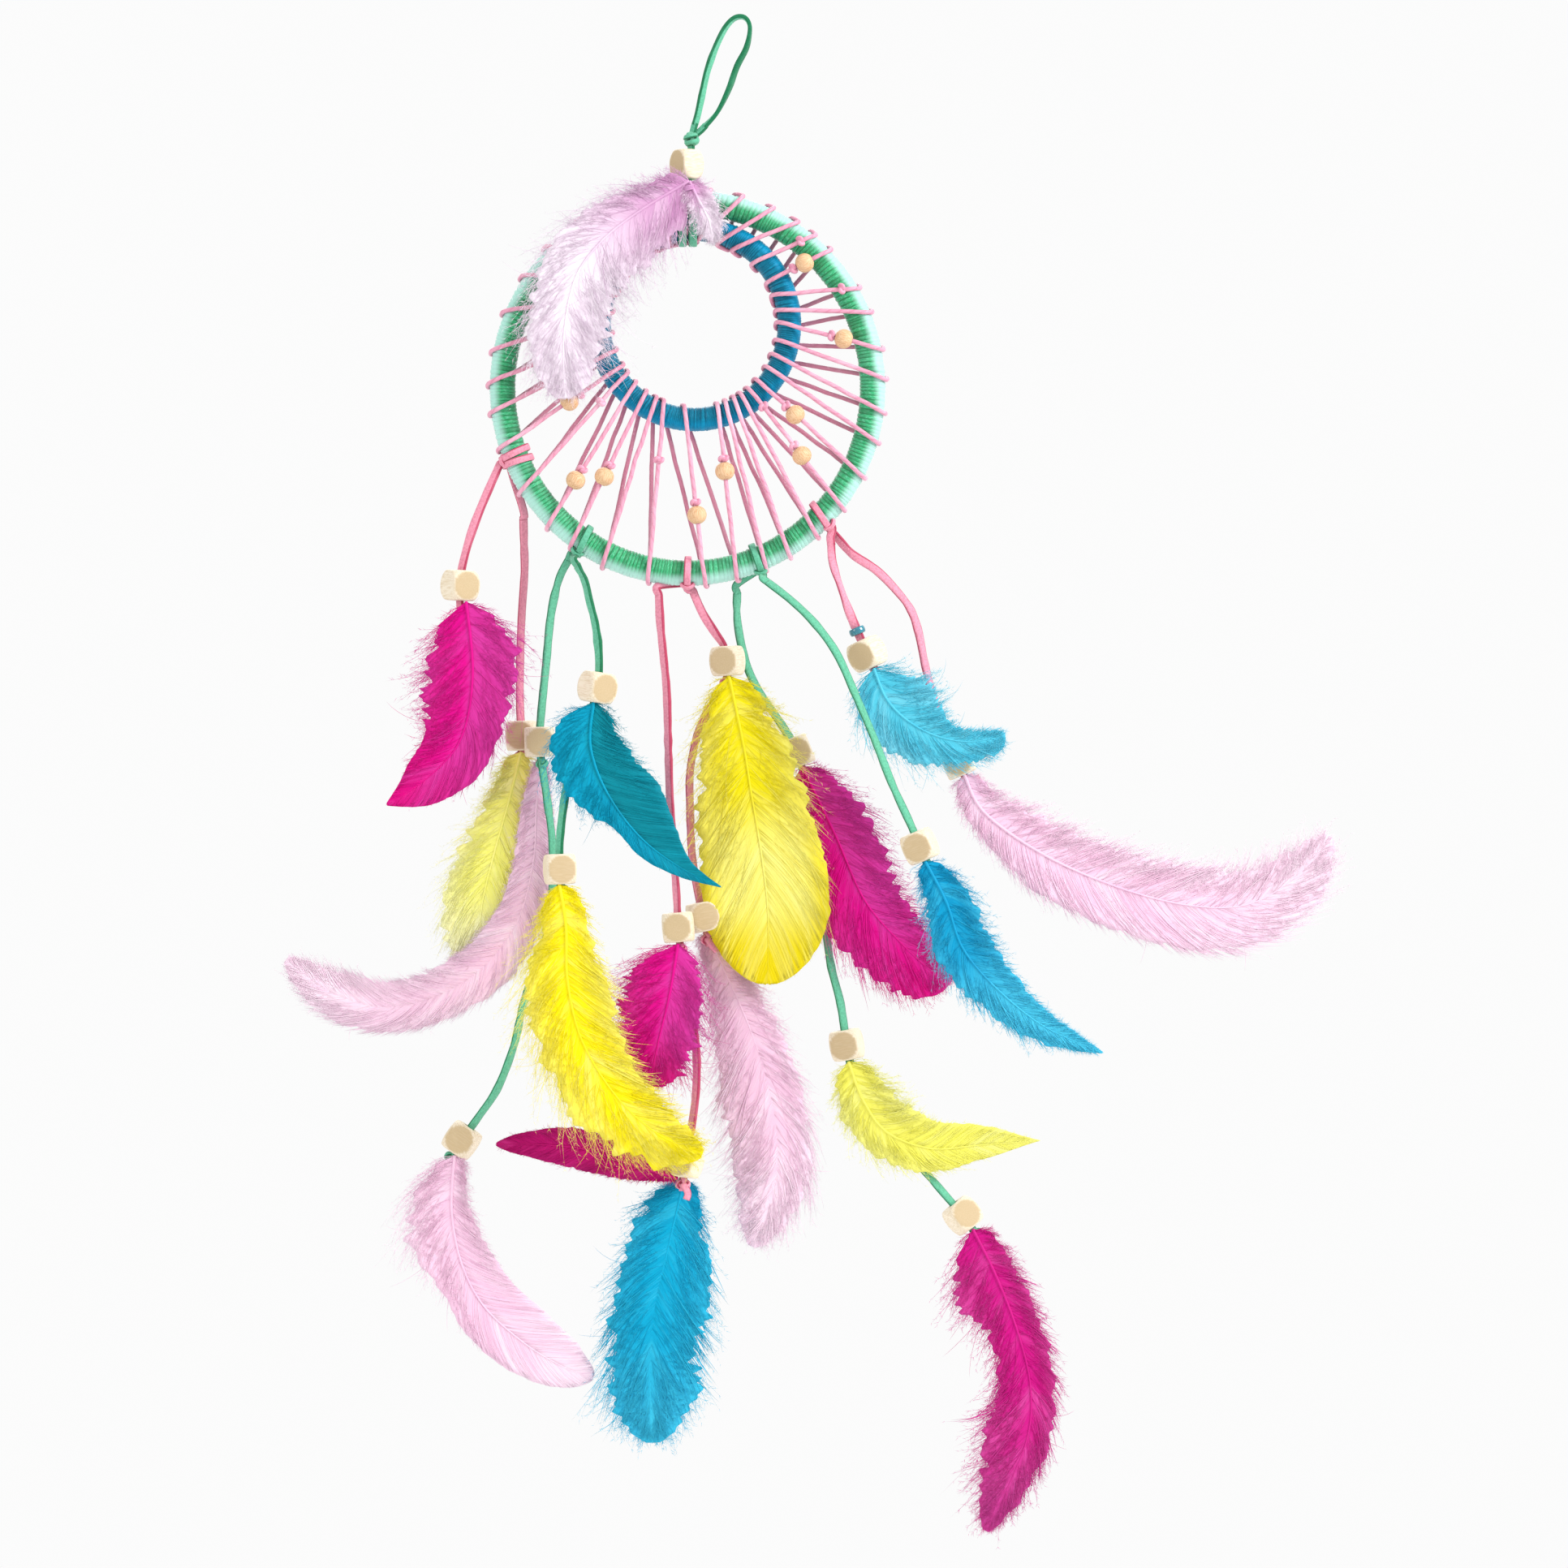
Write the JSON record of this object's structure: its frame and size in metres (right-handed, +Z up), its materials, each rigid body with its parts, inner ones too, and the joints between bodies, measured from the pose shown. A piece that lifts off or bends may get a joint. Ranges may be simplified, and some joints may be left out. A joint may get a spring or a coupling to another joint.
{
  "type": "hanging dream catcher",
  "caption": "Hanging dream catcher: two thread-wrapped hoops joined by a zig-zag lacing, a suede hanging loop, and suede tails with wooden cube beads and dyed feathers.",
  "frame": {"origin": "where the hook sits, inside the top of the hanging loop", "axes": "+Z up, -Y towards the viewer in front, +X to the viewer's right; the hoops lie in the XZ plane"},
  "size_m": [0.3261, 0.0396, 0.4723],
  "materials": {
    "green_suede": "napped suede lace with a pale face",
    "pink_suede": "napped suede lace with a pale face",
    "pale_wood": "plain sanded beech",
    "tan_wood": "plain sanded wood",
    "hoop_core": "plain bent rattan, out of sight",
    "green_thread": "tightly wound floss with a soft shine",
    "blue_thread": "tightly wound satin thread",
    "pink_cord": "waxed cord",
    "teal_glass": "glossy",
    "feather_lilac": "dyed marabou feather",
    "feather_magenta": "dyed feather",
    "feather_pale_yellow": "dyed feather",
    "feather_yellow": "dyed feather",
    "feather_lemon": "dyed feather",
    "feather_pink": "dyed feather",
    "feather_teal": "dyed feather",
    "feather_cyan": "dyed feather",
    "feather_turquoise": "dyed feather"
  },
  "bodies": {
    "loop": {"hanging_loop": "green_suede"},
    "knot": {"loop_knot": "green_suede", "loop_bead": "pale_wood"},
    "hoops": {"outer_hoop_core": "hoop_core", "outer_hoop_wrap": "green_thread", "inner_hoop_core": "hoop_core", "inner_hoop_wrap": "blue_thread", "web_lacing": "pink_cord", "web_beads": "tan_wood", "hitch_top": "green_suede", "hitch_a": "pink_suede", "hitch_b": "green_suede", "hitch_c": "pink_suede", "hitch_d": "green_suede", "hitch_e": "pink_suede"},
    "top_feather": {"top_feather": "feather_lilac"},
    "tail_a1": {"lace_a1": "pink_suede", "bead_a1": "pale_wood", "feather_a1": "feather_magenta"},
    "tail_a2": {"lace_a2": "pink_suede", "bead_a2": "pale_wood", "feather_a2": "feather_pale_yellow"},
    "tail_b1": {"lace_b1": "green_suede", "bead_b1_upper": "pale_wood", "bead_b1_lower": "pale_wood", "feather_b1_upper": "feather_pink", "feather_b1_lower": "feather_pink"},
    "tail_b2": {"lace_b2": "green_suede", "bead_b2_upper": "pale_wood", "bead_b2_lower": "pale_wood", "feather_b2_upper": "feather_teal", "feather_b2_lower": "feather_yellow"},
    "tail_c1": {"lace_c1": "pink_suede", "bead_c1_upper": "pale_wood", "bead_c1_lower": "pale_wood", "feather_c1_upper": "feather_magenta", "feather_c1_side": "feather_magenta", "feather_c1_lower": "feather_cyan"},
    "tail_c2": {"lace_c2": "pink_suede", "bead_c2_upper": "pale_wood", "bead_c2_lower": "pale_wood", "feather_c2_upper": "feather_yellow", "feather_c2_lower": "feather_pink"},
    "tail_d1": {"lace_d1": "green_suede", "bead_d1_upper": "pale_wood", "bead_d1_middle": "pale_wood", "bead_d1_lower": "pale_wood", "feather_d1_upper": "feather_magenta", "feather_d1_middle": "feather_lemon", "feather_d1_lower": "feather_magenta"},
    "tail_d2": {"lace_d2": "green_suede", "bead_d2": "pale_wood", "feather_d2": "feather_cyan"},
    "tail_e1": {"lace_e1": "pink_suede", "bead_e1": "pale_wood", "feather_e1": "feather_turquoise", "seed_bead": "teal_glass"},
    "tail_e2": {"lace_e2": "pink_suede", "bead_e2": "pale_wood", "feather_e2": "feather_pink"}
  },
  "joints": [
    {"name": "hoop_sway", "type": "hinge", "parent": "loop", "child": "knot", "pos_m": [-0.015, 0, -0.0355], "axis": [0, 1, 0], "range_deg": [-30, 30]},
    {"name": "hoop_turn", "type": "hinge", "parent": "knot", "child": "hoops", "pos_m": [-0.0165, 0, -0.045], "axis": [0, 0, 1], "range_deg": [-180, 180]},
    {"name": "top_feather_sway", "type": "hinge", "parent": "hoops", "child": "top_feather", "pos_m": [-0.016, -0.008, -0.049], "axis": [0, 1, 0], "range_deg": [-20, 20]},
    {"name": "a1_sway", "type": "hinge", "parent": "hoops", "child": "tail_a1", "pos_m": [-0.075, -0.00175, -0.138], "axis": [0, 1, 0], "range_deg": [-15, 15]},
    {"name": "a2_sway", "type": "hinge", "parent": "hoops", "child": "tail_a2", "pos_m": [-0.067, 0.00525, -0.152], "axis": [0, 1, 0], "range_deg": [-15, 15]},
    {"name": "b1_sway", "type": "hinge", "parent": "hoops", "child": "tail_b1", "pos_m": [-0.053, 0.00175, -0.165], "axis": [0, 1, 0], "range_deg": [-15, 15]},
    {"name": "b2_sway", "type": "hinge", "parent": "hoops", "child": "tail_b2", "pos_m": [-0.05, -0.00525, -0.167], "axis": [0, 1, 0], "range_deg": [-15, 15]},
    {"name": "c1_sway", "type": "hinge", "parent": "hoops", "child": "tail_c1", "pos_m": [-0.025, -0.00175, -0.176], "axis": [0, 1, 0], "range_deg": [-15, 15]},
    {"name": "c2_sway", "type": "hinge", "parent": "hoops", "child": "tail_c2", "pos_m": [-0.014, 0.00175, -0.176], "axis": [0, 1, 0], "range_deg": [-15, 15]},
    {"name": "d1_sway", "type": "hinge", "parent": "hoops", "child": "tail_d1", "pos_m": [-0.001, 0.00525, -0.175], "axis": [0, 1, 0], "range_deg": [-15, 15]},
    {"name": "d2_sway", "type": "hinge", "parent": "hoops", "child": "tail_d2", "pos_m": [0.0085, -0.00525, -0.172], "axis": [0, 1, 0], "range_deg": [-15, 15]},
    {"name": "e1_sway", "type": "hinge", "parent": "hoops", "child": "tail_e1", "pos_m": [0.028, -0.00175, -0.16], "axis": [0, 1, 0], "range_deg": [-15, 15]},
    {"name": "e2_sway", "type": "hinge", "parent": "hoops", "child": "tail_e2", "pos_m": [0.0295, 0.00175, -0.1575], "axis": [0, 1, 0], "range_deg": [-15, 15]}
  ]
}
